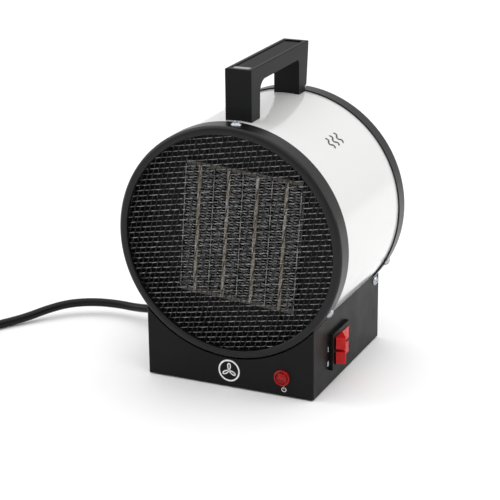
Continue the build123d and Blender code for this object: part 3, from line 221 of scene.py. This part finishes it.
def make_materials():
    m = {}
    m["white_enamel"] = drum_enamel()
    m["black_enamel"] = painted("black_enamel", (0.0055, 0.0055, 0.0054), 0.42, 0.45, 0.03,
                                Specular_IOR_Level=0.13)
    m["black_ring"] = painted("black_ring", (0.0042, 0.0042, 0.0045), 0.30, 0.6, 0.018,
                              Specular_IOR_Level=0.28)
    m["black_plastic"] = moulded("black_plastic", (0.0052, 0.0054, 0.0056), 0.46, 0.35, 0.035,
                                 Specular_IOR_Level=0.14)
    m["rubber"] = moulded("rubber", (0.012, 0.012, 0.012), 0.6, 0.5, 0.04, Specular_IOR_Level=0.3)
    m["cord_pvc"] = moulded("cord_pvc", (0.0035, 0.0035, 0.0038), 0.24, 2.5, 0.03,
                            Specular_IOR_Level=0.2)
    m["galvanised"] = metal("galvanised", (0.33, 0.33, 0.33), 0.42)
    m["zinc_screw"] = metal("zinc_screw", (0.44, 0.46, 0.49), 0.2)
    m["steel_shaft"] = metal("steel_shaft", (0.6, 0.6, 0.6), 0.18, stretch=(4, 1, 4))
    m["brass_metal"] = metal("brass_metal", (0.72, 0.55, 0.26), 0.25)
    m["fan_metal"] = metal("fan_metal", (0.62, 0.62, 0.62), 0.35)
    m["frame_plastic"] = moulded("frame_plastic", (0.10, 0.09, 0.08), 0.6, 0.6, 0.03)
    m["white_block"] = moulded("white_block", (0.66, 0.65, 0.62), 0.4, 0.7, 0.02)
    m["wire_insulation"] = moulded("wire_insulation", (0.30, 0.06, 0.04), 0.35, 2.0, 0.02)

    # The down wires get a much darker copy of the wire colours: painted shade, as the across wires catch the
    # top light more.
    for name, dull, bright in (("guard_wire", 0.030, 0.38), ("guard_wire_down_painted_shade", 0.008, 0.065)):
        s = Shader(name, (bright, bright, bright), 0.3, metallic=0.9)
        s.ramp(s.noise(2.6), [(0.32, (dull, dull, dull)), (0.72, (bright, bright, bright))])
        s.bump(s.noise(0.5), 0.02)
        m[name] = s.material

    s = Shader("fin_aluminium", (0.34, 0.34, 0.34), 0.42, metallic=0.9)
    s.ramp(s.noise(1.6, stretch=(1.8, 1, 0.6)), [(0.34, (0.08, 0.08, 0.085)), (0.72, (0.52, 0.52, 0.53))])
    s.bump(s.bands(1.1, "Z", 1.5), 0.15)
    m["fin_aluminium"] = s.material

    # The blue-white top of the ramp paints glints: painted highlights on the ceramic bars. The darker stops
    # are the ceramic's own tone, varied at random.
    s = Shader("ceramic", (0.40, 0.30, 0.21), 0.35)
    s.ramp(s.noise(3.5, stretch=(0.7, 1, 1.6)),
           [(0.30, (0.13, 0.10, 0.07)), (0.54, (0.28, 0.24, 0.18)), (0.70, (0.50, 0.53, 0.60))])
    s.bump(s.noise(1.8), 0.25)
    m["ceramic"] = s.material

    s = Shader("laminations", (0.20, 0.20, 0.21), 0.4, metallic=0.9)
    s.ramp(s.bands(0.7, "Y"), [(0.2, (0.06, 0.06, 0.06)), (0.8, (0.26, 0.26, 0.27))])
    s.bump(s.bands(0.7, "Y"), 0.12)
    m["laminations"] = s.material

    s = Shader("copper_winding", (0.42, 0.16, 0.07), 0.3, Coat_Weight=0.4)
    s.ramp(s.bands(0.5, "X", 0.3), [(0.2, (0.20, 0.06, 0.02)), (0.8, (0.55, 0.22, 0.09))])
    s.bump(s.bands(0.5, "X", 0.3), 0.15)
    m["copper_winding"] = s.material

    s = Shader("red_rocker", (0.55, 0.004, 0.004), 0.24, Specular_IOR_Level=0.16, Coat_Weight=0.12,
               Coat_Roughness=0.1)
    s.ramp(s.noise(9), [(0.3, (0.44, 0.003, 0.003)), (0.7, (0.64, 0.006, 0.005))])
    s.bump(s.noise(0.9), 0.008)
    m["red_rocker"] = s.material

    s = Shader("red_lens", (0.26, 0.003, 0.003), 0.14, Specular_IOR_Level=0.2, Coat_Weight=0.15,
               Coat_Roughness=0.06)
    s.ramp(s.noise(2.4), [(0.3, (0.15, 0.002, 0.002)), (0.7, (0.42, 0.005, 0.004))])
    m["red_lens"] = s.material

    s = Shader("white_print", (0.80, 0.80, 0.80), 0.5)
    s.ramp(s.noise(1.2), [(0.3, (0.68, 0.68, 0.68)), (0.6, (0.84, 0.84, 0.84))])
    m["white_print"] = s.material

    # Pale grey: a painted reflection of the light on the smooth black end of the grip's recess.
    s = Shader("painted_reflection_grey", (0.16, 0.17, 0.17), 0.2, Coat_Weight=0.4)
    s.ramp(s.noise(4), [(0.3, (0.13, 0.14, 0.14)), (0.7, (0.19, 0.20, 0.20))])
    s.bump(s.noise(0.8), 0.01)
    m["painted_reflection_grey"] = s.material

    s = Shader("grey_print", (0.05, 0.05, 0.055), 0.5)
    s.ramp(s.noise(1.2), [(0.3, (0.040, 0.040, 0.044)), (0.6, (0.065, 0.065, 0.070))])
    m["grey_print"] = s.material
    return m


MATERIALS = make_materials()
SLOT_OF = {part["node"]: part["material_slot"] for part in frame["record"]["subparts"]}


def finish_cad_nodes():
    """Gives every CAD node the material of its own slot."""
    for name, obj in nodes.items():
        for slot in obj.material_slots:
            slot.material = MATERIALS[SLOT_OF[name]]
        if not obj.material_slots:
            obj.data.materials.append(MATERIALS[SLOT_OF[name]])


finish_cad_nodes()


# ---------------------------------------------------------------- mesh helpers
def make_object(name, data, material):
    """A new piece that rides on the heater."""
    obj = bpy.data.objects.new(name, data)
    bpy.context.scene.collection.objects.link(obj)
    data.materials.append(MATERIALS[material])
    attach(obj, "heater")
    return obj


def mesh_object(name, vertices, faces, material, smooth=True):
    data = bpy.data.meshes.new(name)
    data.from_pydata(vertices, [], faces)
    data.polygons.foreach_set("use_smooth", [smooth] * len(data.polygons))
    data.update()
    return make_object(name, data, material)


def tubes(lines, radius, sides):
    """One mesh of round tubes along polylines that lie near an XZ plane, with closed ends."""
    vertices, faces = [], []
    ring = [(cos(2 * pi * k / sides), sin(2 * pi * k / sides)) for k in range(sides)]
    for line in lines:
        first = len(vertices)
        run = np.gradient(line, axis=0)
        run /= np.linalg.norm(run, axis=1)[:, None]
        side = np.cross(run, (0, 1, 0))
        side /= np.linalg.norm(side, axis=1)[:, None]
        out = np.cross(run, side)
        count = len(line)
        round_it = [line + radius * (c * side + s * out) for c, s in ring]
        vertices.extend(np.stack(round_it, axis=1).reshape(-1, 3).tolist())
        for i in range(count - 1):
            a, b = first + i * sides, first + (i + 1) * sides
            faces.extend((a + k, a + (k + 1) % sides, b + (k + 1) % sides, b + k) for k in range(sides))
        faces.append(tuple(first + k for k in reversed(range(sides))))
        faces.append(tuple(first + (count - 1) * sides + k for k in range(sides)))
    return vertices, faces


def lathe(profile, axis_at, along, segments=48):
    """Vertices and faces of a profile of (distance along, radius) turned about an axis through a point."""
    along = Vector(along).normalized()
    side = along.orthogonal().normalized()
    other = along.cross(side)
    vertices, faces = [], []
    for d, r in profile:
        for k in range(segments):
            a = 2 * pi * k / segments
            vertices.append(Vector(axis_at) + along * d + r * (cos(a) * side + sin(a) * other))
    for i in range(len(profile) - 1):
        for k in range(segments):
            n = (k + 1) % segments
            a, b = i * segments, (i + 1) * segments
            faces.append((a + k, a + n, b + n, b + k))
    faces.append(tuple(reversed(range(segments))))
    faces.append(tuple(range((len(profile) - 1) * segments, len(profile) * segments)))
    return vertices, faces


# ---------------------------------------------------------------- mains lead, coil and plug
CORD_ROUTE = [
    (-96, 20, 16), (-113, 20.5, 14), (-130, 26.5, 10.5), (-148, 29, 10), (-168, 26, 10), (-186, 15, 10),
    (-199, 0, 8), (-209, -14, 5), (-220, -29, 3.6), (-231, -46, 3.6), (-239, -64, 3.9),
]
TAIL_ROUTE = [
    (-333, -50, 7.5), (-334, -36, 5), (-335, -20, 8), (-335, -4, 15), (-335, 8, 18.5), (-335, 14, 18.5),
]
COIL_START = -25.0                # degrees round the coil where the first turn begins
COIL_STEPS = 16                   # points a turn
COIL_TURNS = 5.39
# turns wound so far, radius and height of the lead's middle: inwards below, then outwards on top
COIL_STAGES = [(0, 43.5, 4.3), (2.0, 29.2, 4.3), (2.55, 29.2, 4.3), (2.85, 31.8, 11.0), (5.1, 43.0, 11.0),
               (COIL_TURNS, 43.8, 10.2)]
SPLINE_INSIDE = 0.986             # the lead's spline runs this far out for a control point at 1
TIE_ANGLE = 60.0                  # degrees round the coil where the tie sits
TIE_WIDTH = 7.0                   # mm
TIE_INNER, TIE_EDGE, TIE_OUTER = 3.55, 3.85, 4.25     # mm from the lead's middle


def coil_at(wound):
    """Radius and height, in mm, of the lead's middle after so many turns."""
    turns, radii, heights = zip(*COIL_STAGES)
    return np.interp(wound, turns, radii), np.interp(wound, turns, heights)


def coil_points():
    points = []
    for i in range(int(COIL_TURNS * COIL_STEPS) + 1):
        wound = i / COIL_STEPS
        angle = radians(COIL_START - 360 * wound)
        r, z = (value * MM for value in coil_at(wound))
        points.append(COIL_CENTRE + Vector((r * cos(angle), r * sin(angle), z)))
    return points


def make_lead():
    """The whole mains lead: from the strain relief to the coil, round it, and on to the plug."""
    points = [Vector(p) * MM for p in CORD_ROUTE] + coil_points() + [Vector(p) * MM for p in TAIL_ROUTE]
    data = bpy.data.curves.new("mains_lead", "CURVE")
    data.dimensions = "3D"
    data.bevel_depth = CORD_D / 2
    data.bevel_resolution = 6
    data.resolution_u = 5
    data.use_fill_caps = True
    spline = data.splines.new("NURBS")
    spline.points.add(len(points) - 1)
    for knot, place in zip(spline.points, points):
        knot.co = (*place, 1)
    spline.order_u = 3
    spline.use_endpoint_u = True
    lead = make_object("mains_lead", data, "cord_pvc")
    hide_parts("power_cord", "power_cord_coil", "power_cord_tail")
    return lead


def make_gland():
    """The ribbed, tapered strain relief, its flange just clear of the base's side."""
    flange = 3.0 * MM
    seat = -(BASE_SIDE + FACE_GAP)
    taper = -BASE_SIDE - flange - CORD_EXIT.x
    profile = [(0, 3.8 * MM), (0, 9.0 * MM), (0.4 * MM, 9.0 * MM), (2.6 * MM, 8.8 * MM),
               (flange, 8.2 * MM), (flange, 6.9 * MM)]
    ribs = 7
    for i in range(ribs):
        for part, depth in ((0.05, 0.0), (0.55, 0.0), (0.65, 0.9), (0.95, 0.9)):
            d = (i + part) / ribs
            r = (6.9 - 2.2 * d - depth * (1 - 0.6 * d)) * MM
            profile.append((flange + d * (taper - 3.2 * MM), r))
    profile += [(taper - 0.1 * MM, 4.5 * MM), (taper, 4.1 * MM), (taper, 3.55 * MM)]
    vertices, faces = lathe(profile, (seat, CORD_EXIT.y, CORD_EXIT.z), (-1, 0, 0))
    gland = mesh_object("gland_ribbed", vertices, faces, "rubber", smooth=False)
    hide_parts("cord_gland")


def make_plug():
    """A straight moulded plug: neck ribs, rounded body with finger grooves, side recesses."""
    profile = [(0.0, 3.6), (0.0, 5.0)]
    for i in range(5):
        d = 1.5 + 3.4 * i
        profile += [(d, 5.2 + 0.35 * i), (d + 1.9, 5.4 + 0.35 * i), (d + 2.1, 4.5 + 0.35 * i),
                    (d + 3.2, 4.5 + 0.35 * i)]
    profile += [(20, 8.2), (22, 9.0), (25, 12.5), (28, 16.2), (30.5, 17.9), (33, 18.35), (37, 18.35),
                (37.5, 17.9), (38.5, 17.9), (39, 18.35), (41, 18.35), (41.5, 17.9), (42.5, 17.9),
                (43, 18.35), (50, 18.35), (50.5, 18.1), (54.5, 18.1), (55.6, 17.6), (56, 16.8)]
    profile = [(d * MM, r * MM) for d, r in profile]
    vertices, faces = lathe(profile, PLUG_AT, (0, 1, 0), 64)
    for v in vertices:
        across, height = v.x - PLUG_AT.x, v.z - PLUG_AT.z
        if v.y > PLUG_AT.y + 32.5 * MM and abs(height) < 3.4 * MM and abs(across) > 15 * MM:
            v.x = PLUG_AT.x + (15.2 * MM if across > 0 else -15.2 * MM)
    plug = mesh_object("plug_moulded", vertices, faces, "rubber", smooth=False)
    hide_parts("plug_body")
    return plug


def make_tie():
    """A hook-and-loop tie drawn tight round the turns of the coil: the hull of their sections, thickened."""
    first = (COIL_START - TIE_ANGLE) % 360 / 360
    passes = (coil_at(wound) for wound in np.arange(first, COIL_TURNS))
    centres = [(SPLINE_INSIDE * r, z) for r, z in passes]
    out = Vector((cos(radians(TIE_ANGLE)), sin(radians(TIE_ANGLE)), 0))
    along = Vector((-out.y, out.x, 0))
    vertices, faces = [], []
    steps, edge = 72, TIE_WIDTH / 2 - 0.3
    section = [(-edge, TIE_INNER), (-TIE_WIDTH / 2, TIE_EDGE), (-edge, TIE_OUTER),
               (edge, TIE_OUTER), (TIE_WIDTH / 2, TIE_EDGE), (edge, TIE_INNER)]
    for i in range(steps):
        c, z = cos(2 * pi * i / steps), sin(2 * pi * i / steps)
        r0, z0 = max(centres, key=lambda p: p[0] * c + p[1] * z)
        for across, reach in section:
            place = out * (r0 + reach * c) + along * across + Vector((0, 0, z0 + reach * z))
            vertices.append(COIL_CENTRE + place * MM)
    count = len(section)
    for i in range(steps):
        a, b = i * count, (i + 1) % steps * count
        faces.extend((a + k, a + (k + 1) % count, b + (k + 1) % count, b + k) for k in range(count))
    tie = mesh_object("coil_tie_drawn", vertices, faces, SLOT_OF["coil_tie"])
    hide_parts("coil_tie")
    return tie


lead = make_lead()
make_gland()
plug = make_plug()
tie = make_tie()


# ---------------------------------------------------------------- woven guard meshes
def woven_lines(y, per_pitch):
    """Centre lines of the two skewed sets of crimped wires, clipped to the mesh's round edge."""
    rise, lean = MESH_TURN, MESH_LEAN
    step_a = MESH_PITCH / (cos(rise) - sin(rise) * sin(lean) / cos(lean))
    step_b = MESH_PITCH / (cos(lean) - sin(lean) * sin(rise) / cos(rise))
    along_a = np.array((cos(rise), 0, sin(rise))) * step_a
    along_b = np.array((sin(lean), 0, cos(lean))) * step_b
    reach = int(MESH_R / MESH_PITCH * 1.25) + 2
    u = np.arange(-reach * per_pitch, reach * per_pitch + 1) / per_pitch
    across, down = [], []
    for i in range(-reach, reach + 1):
        for lines, own, other, sign in ((across, along_a, along_b, 1), (down, along_b, along_a, -1)):
            line = i * other + u[:, None] * own
            line[:, 1] = sign * MESH_WIRE_R * np.cos(pi * (u + i))
            inside = np.hypot(line[:, 0], line[:, 2]) < MESH_R - MESH_WIRE_R
            if inside.sum() > 3:
                lines.append(line[inside] + np.array((0, y, AXIS.z)))
    return across, down


def make_guard(name, node, y, per_pitch, sides):
    """One guard mesh in two pieces, a piece for each set of wires; the down set is coloured darker as
    painted shade.
    """
    across, down = woven_lines(y, per_pitch)
    for part, lines, material in (("across", across, "guard_wire"), ("down", down, "guard_wire_down_painted_shade")):
        vertices, faces = tubes(lines, MESH_WIRE_R, sides)
        guard = mesh_object(f"{name}_{part}", vertices, faces, material)
        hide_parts(node)


make_guard("guard_woven_front", "front_mesh", MESH_FRONT_Y, 6, 6)
make_guard("guard_woven_rear", "rear_mesh", MESH_REAR_Y, 4, 5)


# ---------------------------------------------------------------- printed marks
PRINT_PROUD = 0.05                # mm that the ink stands up from its own foot
FAN_MIDDLE = 13.7                 # mm up the base's front


def strokes(name, lines, width, place, material):
    """Flat strokes of ink: lines are lists of (x, y) mm, place maps (x, y, mm proud) to space."""
    vertices, faces = [], []
    for line in lines:
        closed = line[0] == line[-1]
        pts = [Vector(p) for p in (line[:-1] if closed else line)]
        first = len(vertices)
        for i, p in enumerate(pts):
            before = pts[i - 1] if closed or i > 0 else pts[0]
            after = pts[(i + 1) % len(pts)] if closed or i < len(pts) - 1 else pts[-1]
            run = (after - before).normalized()
            across = Vector((-run.y, run.x)) * width / 2
            for spot, proud in ((p + across, 0), (p + across, PRINT_PROUD),
                                (p - across, PRINT_PROUD), (p - across, 0)):
                vertices.append(place(spot.x, spot.y, proud))
        count = len(pts)
        for i in range(count if closed else count - 1):
            a, b = first + 4 * i, first + 4 * ((i + 1) % count)
            faces.extend((a + k, a + k + 1, b + k + 1, b + k) for k in range(3))
        if not closed:
            faces.append((first + 3, first + 2, first + 1, first))
            end = first + 4 * (count - 1)
            faces.append((end, end + 1, end + 2, end + 3))
    return mesh_object(name, vertices, faces, material, smooth=False)


def arc(cx, cy, r, start, end, steps=40):
    return [(cx + r * cos(radians(start + (end - start) * i / steps)),
             cy + r * sin(radians(start + (end - start) * i / steps))) for i in range(steps + 1)]


def on_front(x, z, proud):
    return Vector((x * MM, BASE_FRONT - FACE_GAP - proud * MM, z * MM))


def on_side(y, z, proud):
    return Vector((BASE_SIDE + FACE_GAP + proud * MM, y * MM, z * MM))


def on_drum(y, round_mm, proud):
    """y along the drum, round_mm up round the drum from 50 degrees above its right side."""
    a = radians(50) + round_mm * MM / DRUM_R
    r = DRUM_R + FACE_GAP + proud * MM
    return Vector((r * cos(a), y * MM, AXIS.z + r * sin(a)))


def make_prints():
    rim = arc(0, FAN_MIDDLE, 8.2, 0, 360, 64)
    rim[-1] = rim[0]
    petals = []
    for i in range(90):
        turn = pi * i / 90
        r = 5.8 * cos(3 * (turn - pi / 2))
        petals.append((r * cos(turn), FAN_MIDDLE + r * sin(turn)))
    strokes("print_fan_ring", [rim], 1.25, on_front, "white_print")
    strokes("print_fan_blades", [petals + petals[:1]], 0.9, on_front, "white_print")
    power = [arc(45, 5.9, 1.7, 125, 415, 24), [(45, 8.4), (45, 6.1)]]
    strokes("print_power", power, 0.5, on_front, "white_print")
    one = [[(-38.6, 28.6), (-38.6, 32.6)]]
    two = [[(-39.4, 17.0), (-39.4, 21.0)], [(-37.8, 17.0), (-37.8, 21.0)]]
    strokes("print_switch_positions", one + two, 0.7, on_side, "white_print")
    waves = [[(y0 + 2.0 * sin(t * pi / 8), -5.0 + 10.0 * t / 24) for t in range(25)] for y0 in (-8, 0, 8)]
    strokes("print_heat_waves", waves, 1.7, on_drum, "grey_print")


make_prints()


# ---------------------------------------------------------------- domed screws
HEAD_R, HEAD_H = 3.9 * MM, 2.3 * MM
HEAD_RIM = 0.14                   # share of the head's height that its edge stands up
CROSS_HALF, CROSS_REACH, CROSS_DEEP = 0.52 * MM, 2.3 * MM, 1.25 * MM     # the recess's arms
HEAD_RINGS, HEAD_SEGMENTS = 14, 48
SIDE_SCREW = (61 * MM, 51.5 * MM)                  # y and z on both sides of the base
# degrees round the axis from the right side, and mm along Y
RING_SCREWS = [(87.0, -60.0), (-30, -60.0), (210, -60.0), (87.0, 62.5), (-30, 61.5), (210, 61.5)]


def screw_head(vertices, faces, seat, out):
    """A domed head with a cross recess on a seat point; out is at right angles to Y."""
    side = Vector((0, 1, 0))
    other = out.cross(side)
    circle = [2 * pi * k / HEAD_SEGMENTS for k in range(HEAD_SEGMENTS)]
    first = len(vertices)
    vertices.extend(seat + side * HEAD_R * cos(a) + other * HEAD_R * sin(a) for a in circle)
    for i in range(HEAD_RINGS):
        r = HEAD_R * (1 - i / HEAD_RINGS)
        dome = HEAD_H * (HEAD_RIM + (1 - HEAD_RIM) * (1 - (r / HEAD_R) ** 2.6))
        for a in circle:
            x, y = r * cos(a), r * sin(a)
            thin, long = sorted((abs(x), abs(y)))
            recess = max(0.0, 1 - (thin / CROSS_HALF) ** 4) * max(0.0, 1 - (long / CROSS_REACH) ** 6)
            vertices.append(seat + side * x + other * y + out * (dome - CROSS_DEEP * recess))
    middle = len(vertices)
    vertices.append(seat + out * (HEAD_H - CROSS_DEEP))
    for a in range(first, middle, HEAD_SEGMENTS):
        for k in range(HEAD_SEGMENTS):
            n = (k + 1) % HEAD_SEGMENTS
            b = a + HEAD_SEGMENTS
            faces.append((a + k, a + n, b + n, b + k) if b < middle else (a + k, a + n, middle))


def make_screws():
    vertices, faces = [], []
    for angle, y in RING_SCREWS:
        out = Vector((cos(radians(angle)), 0, sin(radians(angle))))
        seat = AXIS + out * (RING_R + 0.03 * MM) + Vector((0, y * MM, 0))
        screw_head(vertices, faces, seat, out)
    for side in (-1, 1):
        seat = Vector((side * (BASE_SIDE + FACE_GAP), *SIDE_SCREW))
        screw_head(vertices, faces, seat, Vector((side, 0, 0)))
    screws = mesh_object("screws_domed", vertices, faces, "zinc_screw")
    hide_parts("case_screws")


make_screws()


# ---------------------------------------------------------------- indicator lamp
def turned(name, node, profile, material):
    """A part turned from a profile of (mm out of the front, mm radius) on the lamp's axis."""
    vertices, faces = lathe([(d * MM, r * MM) for d, r in profile], LAMP, (0, -1, 0))
    piece = mesh_object(name, vertices, faces, material, smooth=False)
    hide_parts(node)


def make_lamp():
    """A red moulded collar round a lens with concentric steps."""
    turned("indicator_collar", "indicator_body",
           [(-14, 3.2), (-14, 4.6), (-1.2, 4.9), (0.02, 4.9), (0.02, 6.5), (0.9, 6.5), (1.5, 6.25),
            (1.85, 5.8), (1.9, 5.4), (1.6, 5.0), (0.2, 4.75)], "red_lens")
    turned("indicator_lens_stepped", "indicator_lens",
           [(-5, 4.4), (1.1, 4.5), (1.55, 4.2), (1.3, 3.7), (1.6, 3.3), (1.35, 2.7), (1.65, 2.3), (1.4, 1.7),
            (1.65, 1.2), (1.6, 0.4)], "red_lens")


make_lamp()


# ---------------------------------------------------------------- seam beads (painted shadow) and the grip's pale end (painted reflection)
BEAD_R, BEAD_END_R = 0.42 * MM, 0.3 * MM
BEAD_LENGTH, BEAD_BEVEL = 108.4 * MM, 0.3 * MM


def make_seam_shadow_beads():
    """A thin dark bead along each seam where a side of the base meets the drum: painted shadow of the gap
    there.
    """
    seam_z = AXIS.z - sqrt((DRUM_R + 0.15 * MM) ** 2 - BASE_SIDE ** 2)
    profile = [(0, BEAD_END_R), (BEAD_BEVEL, BEAD_R), (BEAD_LENGTH - BEAD_BEVEL, BEAD_R),
               (BEAD_LENGTH, BEAD_END_R)]
    for name, side in (("seam_painted_shadow_left", -1), ("seam_painted_shadow_right", 1)):
        start = (side * (BASE_SIDE - 0.35 * MM), -53 * MM, seam_z - 0.1 * MM)
        vertices, faces = lathe(profile, start, (0, 1, 0), 10)
        mesh_object(name, vertices, faces, "black_plastic")


def prism(outline, start, end):
    """Vertices and faces of an outline of (x, z) mm carried along Y from start to end mm."""
    count = len(outline)
    vertices = [(x * MM, y * MM, z * MM) for y in (start, end) for x, z in outline]
    faces = [(k, (k + 1) % count, count + (k + 1) % count, count + k) for k in range(count)]
    faces += [tuple(reversed(range(count))), tuple(range(count, 2 * count))]
    return vertices, faces


GRIP_FLOOR = 238.05               # mm: the height of both pieces' undersides
RIB_HEIGHT, RIB_SWING, RIB_PITCH = 240.1, 0.28, 2.13     # mm


def make_grip():
    """The grip's soft ribbed insert, and the smooth end of its recess in front of it, coloured pale grey as
    a painted reflection.
    """
    across = np.linspace(-6.4, 6.4, 97)
    ribs = [(x, RIB_HEIGHT + RIB_SWING * cos(2 * pi * x / RIB_PITCH)) for x in across]
    insert = [(-6.95, GRIP_FLOOR), (-6.95, 239.6), *ribs, (6.95, 239.6), (6.95, GRIP_FLOOR)]
    vertices, faces = prism(insert, -36, 56)
    grip = mesh_object("grip_ribbed", vertices, faces, SLOT_OF["handle_grip"], smooth=False)
    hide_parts("handle_grip")
    # Painted reflection: this pad is coloured pale grey for the light reflected off the smooth end of the
    # recess.
    inlay = [(-6.9, GRIP_FLOOR), (-6.9, 240.35), (-6.5, 240.7), (6.5, 240.7), (6.9, 240.35),
             (6.9, GRIP_FLOOR)]
    vertices, faces = prism(inlay, -42.3, -36.1)
    mesh_object("grip_end_painted_reflection", vertices, faces, "painted_reflection_grey", smooth=False)


make_seam_shadow_beads()
make_grip()


# ---------------------------------------------------------------- stage, light
FLOOR_HALF = 6                    # metres
FLOOR_DROP = 0.1 * MM             # the floor lies this far under the feet
WORLD_STRENGTH = 0.80
LIGHT_AIM = Vector((0, 0, 0.1))


def make_stage():
    half = FLOOR_HALF
    data = bpy.data.meshes.new("floor")
    data.from_pydata([(-half, -half, 0), (half, -half, 0), (half, half, 0), (-half, half, 0)], [],
                     [(0, 1, 2, 3)])
    floor = bpy.data.objects.new("floor", data)
    bpy.context.scene.collection.objects.link(floor)
    floor.location.z = -FLOOR_DROP
    s = Shader("floor_paper", (0.95, 0.95, 0.95), 0.85)
    s.ramp(s.noise(60), [(0.3, (0.945, 0.945, 0.945)), (0.7, (0.955, 0.955, 0.955))])
    data.materials.append(s.material)


def area_light(name, place, size, power):
    """A rectangular light of size (across, along) in metres and power in watts, aimed at the heater."""
    data = bpy.data.lights.new(name, "AREA")
    data.shape = "RECTANGLE"
    data.size, data.size_y = size
    data.energy = power
    light = bpy.data.objects.new(name, data)
    light.location = place
    light.rotation_euler = (LIGHT_AIM - Vector(place)).to_track_quat("-Z", "Y").to_euler()
    bpy.context.scene.collection.objects.link(light)


def make_light():
    world = bpy.data.worlds.new("studio")
    bpy.context.scene.world = world
    world.use_nodes = True
    background = world.node_tree.nodes["Background"]
    background.inputs["Color"].default_value = (1, 1, 1, 1)
    background.inputs["Strength"].default_value = WORLD_STRENGTH
    area_light("top", (0.0, 0.2, 1.7), (2.6, 2.6), 17)
    area_light("left", (-1.4, -0.3, 1.0), (0.9, 1.2), 5)
    area_light("right", (1.3, 0.5, 0.8), (0.8, 1.0), 5)
    bpy.context.scene.view_settings.view_transform = "Standard"


make_stage()
make_light()
